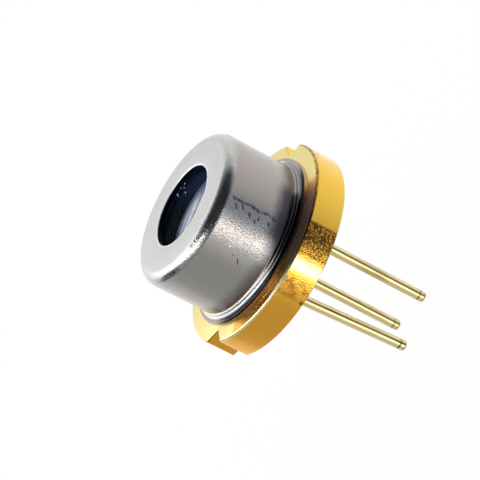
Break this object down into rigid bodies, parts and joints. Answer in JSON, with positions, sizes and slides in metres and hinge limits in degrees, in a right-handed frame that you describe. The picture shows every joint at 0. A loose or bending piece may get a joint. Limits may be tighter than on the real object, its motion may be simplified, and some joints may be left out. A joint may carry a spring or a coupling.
{
  "type": "laser diode",
  "caption": "Metal-can laser diode: round gold-plated stem with a notched rim, drawn cap with a coated window in its top, and straight wire leads behind. Emits a beam along its axis.",
  "frame": {"origin": "centre of the stem's front face, which is the seat that the beam's height is measured from", "axes": "+Z is the beam's direction, out of the window; the V notches lie on X; the index slot and the common lead lie on +Y"},
  "size_m": [0.009, 0.009, 0.0117],
  "materials": {
    "stem_gold": "bright gold plating on steel",
    "lead_gold": "gold plating on drawn alloy wire",
    "bead_glass": "dark sealing glass",
    "cap_nickel": "nickel plating on a drawn alloy cap",
    "window_glass": "polished glass with a dark blue coating",
    "window_seal": "matt sealing glass",
    "heat_sink_metal": "pale plating on copper, with fine lines from milling",
    "submount_ceramic": "metallised sintered ceramic",
    "chip_crystal": "cleaved semiconductor crystal",
    "photodiode_silicon": "coated silicon",
    "wire_gold": "bright gold wire"
  },
  "bodies": {
    "root": {"stem_base": "stem_gold", "common_lead": "lead_gold", "laser_lead": "lead_gold", "monitor_lead": "lead_gold", "laser_lead_seal": "bead_glass", "monitor_lead_seal": "bead_glass", "cap_shell": "cap_nickel", "window_glass": "window_glass", "window_seal": "window_seal", "heat_sink": "heat_sink_metal", "submount": "submount_ceramic", "laser_chip": "chip_crystal", "monitor_photodiode": "photodiode_silicon", "laser_wire": "wire_gold", "chip_wire": "wire_gold", "monitor_wire": "wire_gold"}
  },
  "joints": []
}
